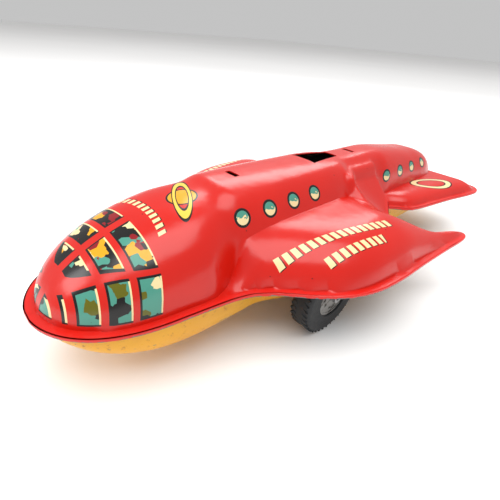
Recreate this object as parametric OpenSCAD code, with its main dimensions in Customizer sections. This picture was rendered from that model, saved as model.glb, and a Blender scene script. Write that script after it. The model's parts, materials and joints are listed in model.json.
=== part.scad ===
// Tin space rocket: a pressed red body with two pairs of wings, a yellow belly,
// two rubber-tyred front wheels geared to a flywheel motor, and a small tail wheel.
// Millimetres. +X is forward, +Y is the toy's left, +Z is up.
// The origin is on the floor, under the middle of the body.

/* [Body] */
// overall length from nose rim to tail rim
body_length = 230; // [180:1:300]
// tip to tip across the front wings
wing_span = 118; // [95:1:150]
// height of the seam between the red body and the yellow belly
seam_height = 25; // [21:0.5:34]
// rise of the back above the seam
body_rise = 24; // [18:0.5:32]
// extra rise of the back behind the nose
front_lift = 0.8; // [0:0.1:2]
// fall of the back towards the tail
tail_fall = 6; // [3:0.5:9]
// depth of the flat belly pan below the seam
belly_drop = 12; // [9:0.25:15]
// thickness of the tinplate
tin = 0.4; // [0.3:0.05:0.8]

/* [Nose] */
// length over which the nose rim rounds off
nose_length = 65; // [45:1:80]
// width of the nose rim where it runs straight
nose_width = 55; // [44:1:66]
// width of the flat rim outside the body
rim_width = 2.8; // [1.5:0.1:4]
// depth of the folded edge that holds the belly
fold_depth = 1.3; // [0.9:0.1:2]

/* [Fuselage] */
// width of the body between the front wings
fuselage_width = 39; // [32:1:44]
// width of the narrow waist between the wings
waist_width = 30; // [26:1:36]
// width of the body above the rear wings
rear_width = 33; // [28:1:38]
// length of the rounded tail end
tail_round = 32; // [20:1:40]

/* [Wings] */
// distance from the nose rim to the start of the front wing
wing_start = 46; // [40:1:60]
// height of the front wing's root above the top of the tyre
wheel_gap = 6.6; // [5:0.1:9]
// tip to tip across the rear wings
tail_span = 84; // [70:1:100]
// height above the seam where the flat side of the waist meets the body
waist_side = 15; // [10:0.5:17]
// rise of the front wing above the seam at its rear tip
tip_rise = 5; // [3:0.25:8]
// width over which the front wing rounds up from its edge
wing_shoulder = 22; // [16:0.5:26]
// rise of the rear wing panel above the seam
tail_rise = 4.5; // [3:0.1:7]
// width over which the rear wing rounds up from its edge
tail_shoulder = 10; // [7:0.5:14]

/* [Openings in the back] */
// distance from the nose rim to the front slot
front_slot_back = 70.5; // [60:0.5:80]
// distance from the nose rim to the wide end of the opening
opening_back = 109; // [95:1:120]
// length of the opening
opening_length = 20; // [14:0.5:24]
// width of the opening at its front end
opening_front = 12.4; // [8:0.2:16]
// width of the opening at its rear end
opening_rear = 6.8; // [5:0.2:10]
// distance from the nose rim to the rear slot
rear_slot_back = 142.8; // [136:0.2:150]
// width of each narrow slot
slot_width = 5.8; // [4:0.1:8]
// length of each narrow slot
slot_length = 2.3; // [1.4:0.1:3]

/* [Front wheels] */
// diameter over the tyres
tyre_diameter = 32; // [28:0.5:36]
// width of a tyre
tyre_width = 8; // [6:0.25:9]
// distance between the outer faces of the tyres
track = 84; // [78:0.5:90]
// distance from the wing start back to the front of the tyre
wheel_back = 26.3; // [25:0.1:34]
// diameter of the tin hub disc
disc_diameter = 16.6; // [13:0.2:19]
// diameter of the front axle
axle_diameter = 2.5; // [2:0.1:3.2]

/* [Motor] */
// distance between the inner faces of the motor plates
motor_width = 21; // [17:0.5:24]
// thickness of a motor plate
plate = 0.8; // [0.6:0.1:1.2]
// teeth on the axle gear
axle_teeth = 20; // [16:1:24]
// teeth on both small pinions
pinion_teeth = 10; // [9:1:12]
// teeth on the middle gear
middle_teeth = 24; // [20:1:28]
// tooth module of the axle gear and its pinion
coarse_module = 0.7; // [0.6:0.05:0.8]
// tooth module of the middle gear and its pinion
fine_module = 0.6; // [0.5:0.05:0.7]
// width of the gears
gear_width = 2; // [1.4:0.1:3]
// diameter of the middle and flywheel shafts
shaft_diameter = 1.8; // [1.4:0.1:2.4]
// diameter of the flywheel
flywheel_diameter = 18; // [14:0.5:21]
// thickness of the flywheel
flywheel_width = 4; // [2.5:0.25:5]
// radial running clearance of every shaft in its hole
running = 0.05; // [0.02:0.01:0.1]

/* [Tail wheel] */
// height of the belly above the top of the tail wheel
tail_gap = 2.2; // [1.9:0.1:3.6]
// width of the tail wheel
tail_wheel_width = 4.5; // [3:0.25:6]
// distance from the tail rim to the tail wheel
tail_wheel_forward = 36; // [34:1:50]

/* [Hidden] */
$fn = 64;
nose_x = body_length / 2;
tail_x = -body_length / 2;
half_span = wing_span / 2;
half_tail = tail_span / 2;
half_nose = nose_width / 2;
wing_x = nose_x - wing_start;
notch_x = wing_x - 104.5;
axle_z = tyre_diameter / 2;
pan_top = seam_height - tin - belly_drop;
pan_bottom = pan_top - tin;
wing_rise = tyre_diameter + wheel_gap + tin - seam_height;
tail_wheel_diameter = pan_bottom - tail_gap;
// the tyre's front at the height of the seam stays behind the wing start
axle_x = wing_x - wheel_back - sqrt(axle_z * axle_z - pow(seam_height - axle_z, 2));
back_z = seam_height + body_rise;
side_gap = 0.3;
mesh_gap = 0.12;

// ---- colours ----
red = [0.83, 0.09, 0.05];
yellow = [0.86, 0.62, 0.09];
steel = [0.62, 0.62, 0.6];
rubber = [0.05, 0.07, 0.1];
brass = [0.72, 0.58, 0.3];
lead = [0.36, 0.37, 0.39];

// ---- small helpers ----
function clamp(v, a, b) = max(a, min(b, v));
function smooth(a, b, x) = let(t = clamp((x - a) / (b - a), 0, 1)) t * t * (3 - 2 * t);
function mix(a, b, t) = a + (b - a) * t;
// a quarter of a superellipse: 1 at t = 0, 0 at t = 1
function round_off(t, p, q) = pow(max(0, 1 - pow(clamp(t, 0, 1), p)), q);
// a point on the smooth curve through b and c
function curve(a, b, c, d, t) = 0.5 * (2 * b + (c - a) * t
    + (2 * a - 5 * b + 4 * c - d) * t * t + (3 * b - 3 * c + d - a) * t * t * t);

// ---- plan outline, nose to tail ----
// each row is [spine x, edge x, edge y, bend x, bend y]: the row leaves the spine,
// leans towards the bend point and meets the edge
nose_steps = 9;
first_turn = 5;
function plain_row(spine, x, y) = [spine, x, y, (spine + x) / 2, y / 2];
function nose_row(a) = let(x = nose_x - nose_length + nose_length * pow(cos(a) / cos(first_turn), 0.5))
    plain_row(x, x, half_nose * pow(sin(a), 1.06));
nose_rows = [for (i = [0:nose_steps - 1]) nose_row(first_turn + 71 * i / (nose_steps - 1))];
front_keys = [
    plain_row(wing_x, wing_x, half_nose + 1),
    plain_row(wing_x - 5, wing_x - 4.6, half_nose + 2),
    plain_row(wing_x - 10, wing_x - 9, half_nose + 3.5),
    plain_row(wing_x - 14, wing_x - 12, half_nose + 5.4),
    plain_row(wing_x - 19, wing_x - 16.5, half_span - 22.7),
    plain_row(wing_x - 27, wing_x - 24.7, half_span - 14.8),
    [wing_x - 34, wing_x - 33, half_span - 8.7, wing_x - 33.5, half_span - 34],
    [wing_x - 40.5, wing_x - 43.5, half_span - 4.5, wing_x - 40.5, half_span - 28],
    [wing_x - 47, wing_x - 57, half_span - 2.6, wing_x - 48, half_span - 16],
    [wing_x - 53, wing_x - 73, half_span - 2, wing_x - 55, half_span - 9],
    [wing_x - 58, wing_x - 92, half_span - 0.9, wing_x - 61, half_span - 5],
    [wing_x - 61.5, wing_x - 108, half_span, wing_x - 65.5, half_span - 4],
    [wing_x - 64.5, wing_x - 112.4, half_span - 2.6, wing_x - 68.5, half_span - 5.5],
    [wing_x - 68, wing_x - 109.8, half_span - 6, wing_x - 72, half_span - 8.5],
    [wing_x - 72, wing_x - 103, half_span - 10, wing_x - 76, half_span - 12],
    [wing_x - 76.5, wing_x - 96.6, half_span - 14, wing_x - 79, half_span - 15.3],
    [wing_x - 81.5, wing_x - 92.2, half_span - 17.5, wing_x - 83, half_span - 20],
    [wing_x - 86.5, wing_x - 91, half_span - 22, wing_x - 86.8, half_span - 30],
    [wing_x - 92.5, wing_x - 94.4, half_nose + 4, wing_x - 92.8, half_nose - 12],
    plain_row(wing_x - 99.5, wing_x - 101, half_nose - 2.6),
    plain_row(notch_x, notch_x, half_nose - 5.3)];
rear_keys = [
    plain_row(notch_x - 4.5, notch_x - 5, half_nose - 4),
    plain_row(notch_x - 10, notch_x - 10.5, half_nose + 1.2),
    plain_row(notch_x - 17, notch_x - 18, half_nose + 4.6),
    plain_row(tail_x + 36, tail_x + 34, half_tail - 4.8),
    [tail_x + 23, tail_x + 18, half_tail - 1.2, tail_x + 22, half_tail - 22],
    [tail_x + 16.5, tail_x + 8.5, half_tail, tail_x + 14.5, half_tail - 16],
    [tail_x + 11, tail_x + 2.6, half_tail - 2, tail_x + 9, half_tail - 17],
    [tail_x + 6, tail_x + 0.5, half_tail - 6, tail_x + 4.5, half_tail - 22],
    plain_row(tail_x, tail_x, half_tail - 13)];
keys = concat([nose_rows[nose_steps - 1]], front_keys, rear_keys);
last_key = len(keys) - 1;
function key(i) = keys[clamp(i, 0, last_key)];
wing_rows = [for (i = [0:last_key - 1], s = [0, 0.5])
    if (i + s > 0) curve(key(i - 1), key(i), key(i + 1), key(i + 2), s)];
rows = concat(nose_rows, wing_rows, [key(last_key)]);
edge = concat([for (r = rows) [r[1], r[2]]], [[tail_x, 0]]);

// distance from a point to the outline
function to_segment(p, a, b) = let(d = b - a, t = clamp((p - a) * d / max(d * d, 0.0001), 0, 1))
    norm(p - a - t * d);
function to_edge(p) = min([for (i = [0:len(edge) - 2]) to_segment(p, edge[i], edge[i + 1])]);

// ---- heights of the red body above the seam ----
// half width of the rounded body at x, drawn in by g
function body_half(x, g) =
    let(nose = (half_nose - rim_width - g)
            * round_off((x - nose_x + nose_length) / (nose_length - rim_width - g), 4, 0.53),
        straight = mix(fuselage_width / 2, half_nose - rim_width, smooth(wing_x - 16, wing_x + 4, x)),
        pinch = mix(waist_width / 2, straight, smooth(wing_x - 84, wing_x - 76, x)),
        rear = mix(rear_width / 2, pinch, smooth(notch_x - 12, notch_x - 2, x)),
        tail = round_off((tail_x + tail_round - x) / (tail_round - rim_width - g), 3, 0.5))
    max(0.01, min(nose, (rear - g) * tail));
function body_top(x, g) =
    let(nose = round_off((x - nose_x + nose_length + 8) / (nose_length + 8 - rim_width - g), 2.4, 0.6),
        slope = body_rise - tail_fall * (1 - smooth(tail_x + 17, wing_x - 104, x))
            + front_lift * smooth(wing_x - 74, wing_x - 29, x),
        tail = round_off((tail_x + tail_round + 2 - x) / (tail_round + 2 - rim_width - g), 2.4, 0.6))
    slope * min(nose, tail);
function body_at(x, y, g) = body_top(x, g) * round_off(abs(y) / body_half(x, g), 3, 0.48);
function front_part(x) = smooth(notch_x - 6, notch_x + 8, x);
function panel_rise(x) = mix(tail_rise, mix(tip_rise, wing_rise, smooth(notch_x + 2, notch_x + 40, x)),
    front_part(x)) * (1 - smooth(wing_x - 16, wing_x - 3, x)) * smooth(tail_x + 2, tail_x + 12, x);
function panel_at(x, d, g) = panel_rise(x)
    * round_off(1 - (d - rim_width - g) / mix(tail_shoulder, wing_shoulder, front_part(x)), 2.2, 0.5);
function side_at(x, y, g) = let(half = body_half(x, 0))
    smooth(notch_x - 2, notch_x + 3, x) * (1 - smooth(notch_x + 28, notch_x + 34, x))
    * smooth(half - 9, half - 1, abs(y)) * max(0, waist_side - (abs(y) - half + g));
function rise(x, y, d, g) = pow(pow(body_at(x, y, g), 3) + pow(panel_at(x, d, g), 3)
    + pow(side_at(x, y, g), 3), 1 / 3);

// ---- rows of points across one side of a pressing ----
inner_columns = 7;
outer_columns = 6;
columns = inner_columns + outer_columns;
function across(r, j) = let(b = min(body_half(r[0], 0) + 0.6, max(r[2] - rim_width, r[2] * 0.5)))
    j <= inner_columns ? b * pow(j / inner_columns, 0.85)
        : mix(r[2], b, pow((columns - j) / outer_columns, 1.4));
function along(r, y) = let(v = y / (r[4] + sqrt(max(r[4] * r[4] + (r[2] - 2 * r[4]) * y, 0.000001))))
    (1 - v) * (1 - v) * r[0] + 2 * v * (1 - v) * r[3] + v * v * r[1];
function flat_row(r) = [for (j = [0:columns]) let(y = across(r, j)) [along(r, y), y]];

// one row of surface points from the left edge to the right edge
function both_sides(row) = concat([for (j = [len(row) - 1:-1:1]) row[j]],
    [for (p = row) [p[0], -p[1], p[2]]]);
// a row whose last point is drawn in by g, for the inner skin
function drawn_in(row, g) = let(n = len(row) - 1, a = row[n], b = row[n - 1], l = norm(a - b))
    concat([for (j = [0:n - 1]) row[j]], [a + (b - a) * min(g / max(l, 0.01), 0.6)]);
function red_row(r, g, push) = let(flat = g > 0 ? drawn_in(flat_row(r), g) : flat_row(r))
    both_sides([for (p = flat) [p[0] + push, p[1],
        seam_height - g + rise(p[0] + push, p[1], to_edge(p), g)]]);
function red_rows(g) = let(n = len(rows) - 1)
    [for (i = [0:n]) red_row(rows[i], g, i == 0 ? -g : i == n ? g : 0)];

// faces of a sheet with n rows of m points, then its border, then bands along the border
function strip(n, m, from, flip) = [for (i = [0:n - 2], j = [0:m - 2], k = [0, 1])
    let(a = from + i * m + j, b = a + 1, c = a + m, d = c + 1,
        f = k == 0 ? [a, d, b] : [a, c, d]) flip ? [f[2], f[1], f[0]] : f];
function border(n, m) = concat([for (j = [0:m - 1]) j], [for (i = [1:n - 1]) i * m + m - 1],
    [for (j = [m - 2:-1:0]) (n - 1) * m + j], [for (i = [n - 2:-1:1]) i * m]);
function band(one, two) = [for (i = [0:len(one) - 1], k = [0, 1])
    let(a = one[i], b = one[(i + 1) % len(one)], c = two[i], d = two[(i + 1) % len(one)])
    k == 0 ? [a, b, d] : [a, d, c]];

// a pressed sheet: top skin, bottom skin and a straight edge folded down by drop
module sheet(top, bottom, drop) {
    n = len(top);
    m = len(top[0]);
    count = n * m;
    upper = [for (r = top, p = r) p];
    lower = [for (r = bottom, p = r) p];
    loop = border(n, m);
    size = len(loop);
    edge_out = [for (k = loop) upper[k] - [0, 0, drop]];
    edge_in = [for (k = loop) [lower[k][0], lower[k][1], upper[k][2] - drop]];
    under = [for (k = loop) k + count];
    ring_out = [for (k = [0:size - 1]) 2 * count + k];
    ring_in = [for (k = [0:size - 1]) 2 * count + size + k];
    faces = concat(strip(n, m, 0, false), strip(n, m, count, true),
        band(loop, ring_out), band(ring_out, ring_in), band(ring_in, under));
    plain = concat(strip(n, m, 0, false), strip(n, m, count, true), band(loop, under));
    if (drop > 0) polyhedron(points = concat(upper, lower, edge_out, edge_in), faces = faces, convexity = 10);
    else polyhedron(points = concat(upper, lower), faces = plain, convexity = 10);
}

// ---- the yellow belly ----
belly_gap = 0.15;
flange = 1.1;
belly_nose = 42;
belly_tail = 45;
belly_wall = 3.4;
wing_keel = 5.5;
function belly_edge(x) =
    let(inset = tin + belly_gap,
        nose = (half_nose - inset) * round_off((x - nose_x + nose_length) / (nose_length - inset), 4, 0.53)
            + wing_keel * (1 - smooth(wing_x - 33, wing_x - 15, x)),
        waist = mix(half_nose - 5.3 - inset, half_nose + wing_keel - inset,
            smooth(notch_x + 5, notch_x + 18, x)),
        rear = mix(rear_width / 2 + 6.5, waist, smooth(notch_x - 20, notch_x - 10, x)),
        tail = round_off((tail_x + 30 - x) / (30 - inset), 4, 0.5))
    min(nose, rear * tail);
function belly_at(x, y, g) =
    let(nose = round_off((x - nose_x + belly_nose) / (belly_nose - 1.7 - g), 2.3, 0.66),
        tail = round_off((tail_x + belly_tail - x) / (belly_tail - 1.7 - g), 2.4, 0.6),
        half = max(0.01, belly_edge(x) - flange - g),
        side = round_off(1 - (half - abs(y)) / min(belly_wall, half * 0.6), 3.5, 0.45))
    belly_drop * min(nose, 1.1 * tail, 1) * side;
belly_x = concat([for (a = [6, 14, 22, 31, 40, 50, 61]) nose_row(a)[0] - tin - belly_gap],
    [for (i = [0:25]) mix(nose_x - nose_length + 4, tail_x + 27, i / 25)],
    [for (a = [58, 46, 36, 27, 18, 10]) tail_x + tin + belly_gap + 30 * (1 - pow(cos(a), 0.5))]);
belly_columns = 9;
function belly_y(x, j) = let(e = belly_edge(x), b = e - min(flange, e * 0.4), w = min(belly_wall, b * 0.6))
    j < 3 ? (b - w - 0.3) * j / 2 : j < belly_columns ? b - w * (1 - sin(15 * (j - 2))) : e;
function belly_row(x, g, z) = both_sides([for (j = [0:belly_columns])
    let(y = belly_y(x, j)) [x, y, z - belly_at(x, y, g)]]);

// ---- motor layout: axle, middle shaft and flywheel shaft, each as [x, z] ----
axle_at = [axle_x, axle_z];
axle_reach = (axle_teeth + pinion_teeth) * coarse_module / 2 + mesh_gap;
fly_reach = (middle_teeth + pinion_teeth) * fine_module / 2 + mesh_gap;
axle_turn = 145;
fly_turn = 146;
middle_at = axle_at + axle_reach * [cos(axle_turn), sin(axle_turn)];
fly_at = middle_at + fly_reach * [cos(fly_turn), sin(fly_turn)];
axle_gear_r = (axle_teeth / 2 + 0.8) * coarse_module;
middle_gear_r = (middle_teeth / 2 + 0.8) * fine_module;
half_motor = motor_width / 2;
outer_motor = half_motor + plate;
cut_half = axle_gear_r + 1.2;
foot = 6;
rivet = 1.6;
head = 2.8;
spacer = 3;
post_at = [[fly_at[0] - 4, pan_top + 3.2], [axle_x + cut_half + 2.6, pan_top + 2.8],
    middle_at + (middle_gear_r + spacer / 2 + 1.3) * [cos(42), sin(42)]];
plate_back = fly_at[0] - 7;
plate_front = axle_x + cut_half + 6;
plate_top = fly_at[1] + 5.5;
rivet_at = [for (x = [(plate_back + axle_x - cut_half) / 2, (plate_front + axle_x + cut_half) / 2],
    s = [-1, 1]) [x, s * (outer_motor + foot / 2)]];

// a spur gear outline, with a tooth centred on the given angle
function tooth_point(n, m, k, turn) = let(i = floor(k / 4), c = k % 4,
        r = c == 0 || c == 3 ? (n / 2 - 1.1) * m : (n / 2 + 0.8) * m,
        a = [-0.27, -0.1, 0.1, 0.27][c])
    r * [cos(turn + (i + a) * 360 / n), sin(turn + (i + a) * 360 / n)];
module gear(n, m, bore, turn, y) {
    translate([0, y + gear_width, 0]) rotate([90, 0, 0]) linear_extrude(height = gear_width) difference() {
        polygon([for (k = [0:4 * n - 1]) tooth_point(n, m, k, turn)]);
        circle(d = bore);
    }
}
// a round bar along Y, from one y to another
module bar(d, from, to) {
    translate([0, to, 0]) rotate([90, 0, 0]) cylinder(d = d, h = to - from);
}
module at(p) {
    translate([p[0], 0, p[1]]) children();
}
// a ring about the Y axis from a half section of radius and distance outwards
module turned(y, side) {
    translate([0, y * side, 0]) rotate([-90 * side, 0, 0]) rotate_extrude() children();
}

// ---- the red body ----
module slot_cut(x) {
    translate([x, 0, back_z]) cube([slot_length, slot_width, 24], center = true);
}
module upper_shell() {
    color(red) difference() {
        sheet(red_rows(0), red_rows(tin), fold_depth);
        slot_cut(nose_x - front_slot_back);
        slot_cut(nose_x - rear_slot_back);
        translate([nose_x - opening_back, 0, back_z - 12]) linear_extrude(height = 20) polygon([
            [0, -opening_front / 2], [0, opening_front / 2],
            [-opening_length, opening_rear / 2], [-opening_length, -opening_rear / 2]]);
    }
}
module lower_shell() {
    color(yellow) difference() {
        sheet([for (x = belly_x) belly_row(x, tin, seam_height - tin)],
            [for (x = belly_x) belly_row(x, 0, seam_height - 2 * tin)], 0);
        translate([axle_x, 0, pan_top]) cube([2 * cut_half, 2 * outer_motor + 2 * side_gap, 4], center = true);
        at(axle_at) bar(axle_diameter + 1.4, -half_span, half_span);
        for (p = rivet_at) translate([p[0], p[1], pan_bottom - 1]) cylinder(d = rivet, h = 3);
        for (x = tail_rivet_x) translate([x, 0, pan_bottom - 1]) cylinder(d = rivet, h = 3);
    }
}

// ---- the motor frame ----
module plate_outline() {
    difference() {
        polygon([[plate_back, pan_top], [axle_x - cut_half + side_gap, pan_top],
            [axle_x - cut_half + side_gap, axle_z - 5], [axle_x + cut_half - side_gap, axle_z - 5],
            [axle_x + cut_half - side_gap, pan_top], [plate_front, pan_top],
            [plate_front, pan_top + 5.6], [post_at[2][0] + 3.4, plate_top - 2],
            [post_at[2][0] + 1, plate_top], [plate_back, plate_top]]);
        translate(axle_at) circle(d = axle_diameter + 2 * running);
        translate(middle_at) circle(d = shaft_diameter + 2 * running);
        translate(fly_at) circle(d = shaft_diameter + 2 * running);
        for (p = post_at) translate(p) circle(d = rivet);
    }
}
module motor_plate(side) {
    color(steel) difference() {
        union() {
            translate([0, side > 0 ? outer_motor : -half_motor, 0]) rotate([90, 0, 0])
                linear_extrude(height = plate) plate_outline();
            for (x = [[plate_back, axle_x - cut_half], [axle_x + cut_half, plate_front]])
                translate([x[0], side > 0 ? outer_motor : -outer_motor - foot, pan_top])
                    cube([x[1] - x[0], foot, plate]);
        }
        for (p = rivet_at) if (p[1] * side > 0) translate([p[0], p[1], pan_top - 1]) cylinder(d = rivet, h = 4);
    }
}
module left_motor_plate() motor_plate(1);
module right_motor_plate() motor_plate(-1);
module spacers() {
    color(brass) for (p = post_at) at(p) {
        bar(spacer, -half_motor, half_motor);
        bar(rivet, -outer_motor - 0.3, outer_motor + 0.3);
        bar(head, outer_motor, outer_motor + 0.5);
        bar(head, -outer_motor - 0.5, -outer_motor);
    }
}
module upright_rivet(low, high) {
    translate([0, 0, low - 0.6]) cylinder(d = head, h = 0.6);
    translate([0, 0, low - 0.3]) cylinder(d = rivet, h = high - low + 0.6);
    translate([0, 0, high]) cylinder(d = head, h = 0.6);
}
module foot_rivets() {
    color(brass) for (p = rivet_at) translate([p[0], p[1], 0]) upright_rivet(pan_bottom, pan_top + plate);
}

// ---- front wheels and axle ----
half_tyre = tyre_width / 2;
wheel_y = track / 2 - half_tyre;
disc_r = disc_diameter / 2;
recess = 0.9;
disc_wall = 0.4;
drum_r = disc_r - 1.3;
corner = 2.6;
cap_rise = 1.2;
// tyre section as radius and distance outwards, with a seat for each disc
module tyre_section() {
    r = tyre_diameter / 2;
    seat = half_tyre - recess - disc_wall;
    translate([drum_r, -seat]) square([r - corner - drum_r, 2 * seat]);
    translate([disc_r, -half_tyre]) square([r - corner - disc_r, tyre_width]);
    translate([disc_r, -half_tyre + corner]) square([r - disc_r, tyre_width - 2 * corner]);
    for (s = [-1, 1]) translate([r - corner, s * (half_tyre - corner)]) circle(r = corner);
}
module tyre(side) {
    color(rubber) at(axle_at) turned(wheel_y, side) tyre_section();
}
module wheel_drum(side) {
    inner = half_tyre - recess;
    color(steel) at(axle_at) turned(wheel_y, side) {
        translate([axle_diameter / 2, -inner]) square([disc_r - axle_diameter / 2, disc_wall]);
        translate([drum_r - disc_wall, -inner]) square([disc_wall, 2 * inner - disc_wall]);
    }
}
module wheel_disc(side) {
    face = half_tyre - recess;
    color(steel) at(axle_at) turned(wheel_y, side) {
        translate([axle_diameter / 2, face - disc_wall]) square([disc_r - axle_diameter / 2, disc_wall]);
        translate([disc_r - 0.9, face - disc_wall]) square([0.9, disc_wall + 0.25]);
    }
}
module axle_cap(side) {
    face = half_tyre - recess;
    color(steel) at(axle_at) turned(wheel_y, side) difference() {
        translate([0, face]) square([2.2, recess + cap_rise]);
        translate([0, face + recess + cap_rise - 0.4]) square([1.2, 0.41]);
        translate([0, face - 1]) square([axle_diameter / 2, 1.5]);
    }
}
module front_axle() {
    color(steel) at(axle_at) bar(axle_diameter, -track / 2 + recess - 0.5, track / 2 - recess + 0.5);
}
module axle_collars() {
    color(brass) at(axle_at) for (s = [-1, 1]) difference() {
        bar(axle_diameter + 2, s > 0 ? outer_motor + side_gap : -outer_motor - side_gap - 1.5,
            s > 0 ? outer_motor + side_gap + 1.5 : -outer_motor - side_gap);
        bar(axle_diameter, -track, track);
    }
}
module axle_gear() {
    color(steel) at(axle_at) gear(axle_teeth, coarse_module, axle_diameter, axle_turn, -half_motor + 4);
}
module left_tyre() tyre(1);
module right_tyre() tyre(-1);
module left_wheel_drum() wheel_drum(1);
module right_wheel_drum() wheel_drum(-1);
module left_wheel_disc() wheel_disc(1);
module right_wheel_disc() wheel_disc(-1);
module left_axle_cap() axle_cap(1);
module right_axle_cap() axle_cap(-1);

// ---- middle shaft ----
module middle_shaft() {
    color(steel) at(middle_at) bar(shaft_diameter, -outer_motor, outer_motor + 0.8);
}
module middle_pinion() {
    color(brass) at(middle_at) gear(pinion_teeth, coarse_module, shaft_diameter,
        axle_turn + 180 + 180 / pinion_teeth, -half_motor + 4);
}
module middle_gear() {
    color(steel) at(middle_at) gear(middle_teeth, fine_module, shaft_diameter, fly_turn,
        half_motor - 4 - gear_width);
}

// ---- flywheel ----
fly_in = outer_motor + 0.6;
module flywheel_shaft() {
    color(steel) at(fly_at) bar(shaft_diameter, -fly_in - flywheel_width - 0.6, outer_motor + 0.8);
}
module flywheel_pinion() {
    color(brass) at(fly_at) gear(pinion_teeth, fine_module, shaft_diameter,
        fly_turn + 180 + 180 / pinion_teeth, half_motor - 4 - gear_width);
}
module flywheel() {
    color(lead) at(fly_at) difference() {
        bar(flywheel_diameter, -fly_in - flywheel_width, -fly_in);
        bar(shaft_diameter, -fly_in - 20, 0);
        bar(flywheel_diameter - 5, -fly_in - 20, -fly_in - flywheel_width + 0.8);
    }
}

// ---- tail wheel ----
tail_wheel_x = tail_x + tail_wheel_forward;
tail_z = tail_wheel_diameter / 2;
tail_hub_r = 2.2;
tail_pin = 1.6;
tail_half = tail_wheel_width / 2;
cheek_y = tail_half + side_gap;
tail_rivet_x = [tail_wheel_x - 3.4, tail_wheel_x + 3.4];
module tail_bracket() {
    color(steel) difference() {
        union() {
            translate([tail_wheel_x - 5.2, -cheek_y - plate, pan_bottom - plate])
                cube([10.4, 2 * cheek_y + 2 * plate, plate]);
            for (s = [-1, 1]) translate([0, s > 0 ? cheek_y + plate : -cheek_y, 0]) rotate([90, 0, 0])
                linear_extrude(height = plate) polygon([[tail_wheel_x - 5.2, pan_bottom],
                    [tail_wheel_x - 2.2, tail_z - 2.4], [tail_wheel_x + 2.2, tail_z - 2.4],
                    [tail_wheel_x + 5.2, pan_bottom]]);
        }
        at([tail_wheel_x, tail_z]) bar(tail_pin, -20, 20);
        for (x = tail_rivet_x) translate([x, 0, pan_bottom - 3]) cylinder(d = rivet, h = 6);
    }
}
module tail_rivets() {
    color(brass) for (x = tail_rivet_x) translate([x, 0, 0]) upright_rivet(pan_bottom - plate, pan_top);
}
module tail_wheel_pin() {
    color(steel) at([tail_wheel_x, tail_z]) {
        bar(tail_pin, -cheek_y - plate - 0.3, cheek_y + plate + 0.3);
        bar(tail_pin + 1.2, cheek_y + plate, cheek_y + plate + 0.6);
        bar(tail_pin + 1.2, -cheek_y - plate - 0.6, -cheek_y - plate);
    }
}
module tail_hub() {
    color(brass) at([tail_wheel_x, tail_z]) difference() {
        bar(2 * tail_hub_r, -tail_half - 0.1, tail_half + 0.1);
        bar(tail_pin + 2 * running, -20, 20);
    }
}
module tail_tyre() {
    r = tail_wheel_diameter / 2;
    color(rubber) at([tail_wheel_x, tail_z]) turned(0, 1) {
        translate([tail_hub_r, -tail_half]) square([r - 1 - tail_hub_r, tail_wheel_width]);
        translate([tail_hub_r, -tail_half + 1]) square([r - tail_hub_r, tail_wheel_width - 2]);
        for (s = [-1, 1]) translate([r - 1, s * (tail_half - 1)]) circle(r = 1);
    }
}

upper_shell();
lower_shell();
left_motor_plate();
right_motor_plate();
spacers();
foot_rivets();
tail_bracket();
tail_rivets();
tail_wheel_pin();
front_axle();
axle_gear();
axle_collars();
left_tyre();
right_tyre();
left_wheel_drum();
right_wheel_drum();
left_wheel_disc();
right_wheel_disc();
left_axle_cap();
right_axle_cap();
middle_shaft();
middle_pinion();
middle_gear();
flywheel_shaft();
flywheel_pinion();
flywheel();
tail_hub();
tail_tyre();
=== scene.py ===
import json
import math

import bpy
import numpy as np
from mathutils import Matrix, Vector

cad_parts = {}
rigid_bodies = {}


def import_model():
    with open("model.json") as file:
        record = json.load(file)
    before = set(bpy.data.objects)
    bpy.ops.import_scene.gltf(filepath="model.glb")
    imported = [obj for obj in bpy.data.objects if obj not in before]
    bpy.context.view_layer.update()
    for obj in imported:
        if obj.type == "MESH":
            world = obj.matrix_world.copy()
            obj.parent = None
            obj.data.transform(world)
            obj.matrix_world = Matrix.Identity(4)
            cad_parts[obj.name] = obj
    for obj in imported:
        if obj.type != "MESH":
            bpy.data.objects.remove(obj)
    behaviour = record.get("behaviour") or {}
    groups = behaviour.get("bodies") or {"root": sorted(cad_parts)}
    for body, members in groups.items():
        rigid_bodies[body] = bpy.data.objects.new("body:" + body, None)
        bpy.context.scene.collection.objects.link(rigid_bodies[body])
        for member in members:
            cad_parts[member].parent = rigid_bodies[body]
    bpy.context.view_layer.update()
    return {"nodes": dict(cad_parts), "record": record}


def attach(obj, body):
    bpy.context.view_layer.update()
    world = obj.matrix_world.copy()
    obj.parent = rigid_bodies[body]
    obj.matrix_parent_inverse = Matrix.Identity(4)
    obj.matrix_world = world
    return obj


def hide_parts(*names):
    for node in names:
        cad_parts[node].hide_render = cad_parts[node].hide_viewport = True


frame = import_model()
print("frame loaded,", len(frame["nodes"]), "parts")

mm = 0.001


# ---- small tools ----
def colour(hexText, alpha=1.0):  # sRGB hex to the linear values Blender keeps
    parts = [int(hexText[i : i + 2], 16) / 255 for i in (1, 3, 5)]
    linear = [c / 12.92 if c <= 0.04045 else ((c + 0.055) / 1.055) ** 2.4 for c in parts]
    return (*linear, alpha)


def addNode(tree, kind, inputs=None, **settings):  # a node with its settings, values and links
    node = tree.nodes.new(kind)
    for name, value in settings.items():
        setattr(node, name, value)
    for key, value in (inputs or {}).items():
        if isinstance(value, bpy.types.Node):
            value = value.outputs[0]
        if isinstance(value, bpy.types.NodeSocket):
            tree.links.new(value, node.inputs[key])
        else:
            node.inputs[key].default_value = value
    return node


def newMaterial(name):  # an empty node material, its tree and its shader
    material = bpy.data.materials.new(name)
    material.use_nodes = True
    tree = material.node_tree
    tree.nodes.clear()
    shader = addNode(tree, "ShaderNodeBsdfPrincipled")
    addNode(tree, "ShaderNodeOutputMaterial", {"Surface": shader.outputs["BSDF"]})
    return material, tree, shader


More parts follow.
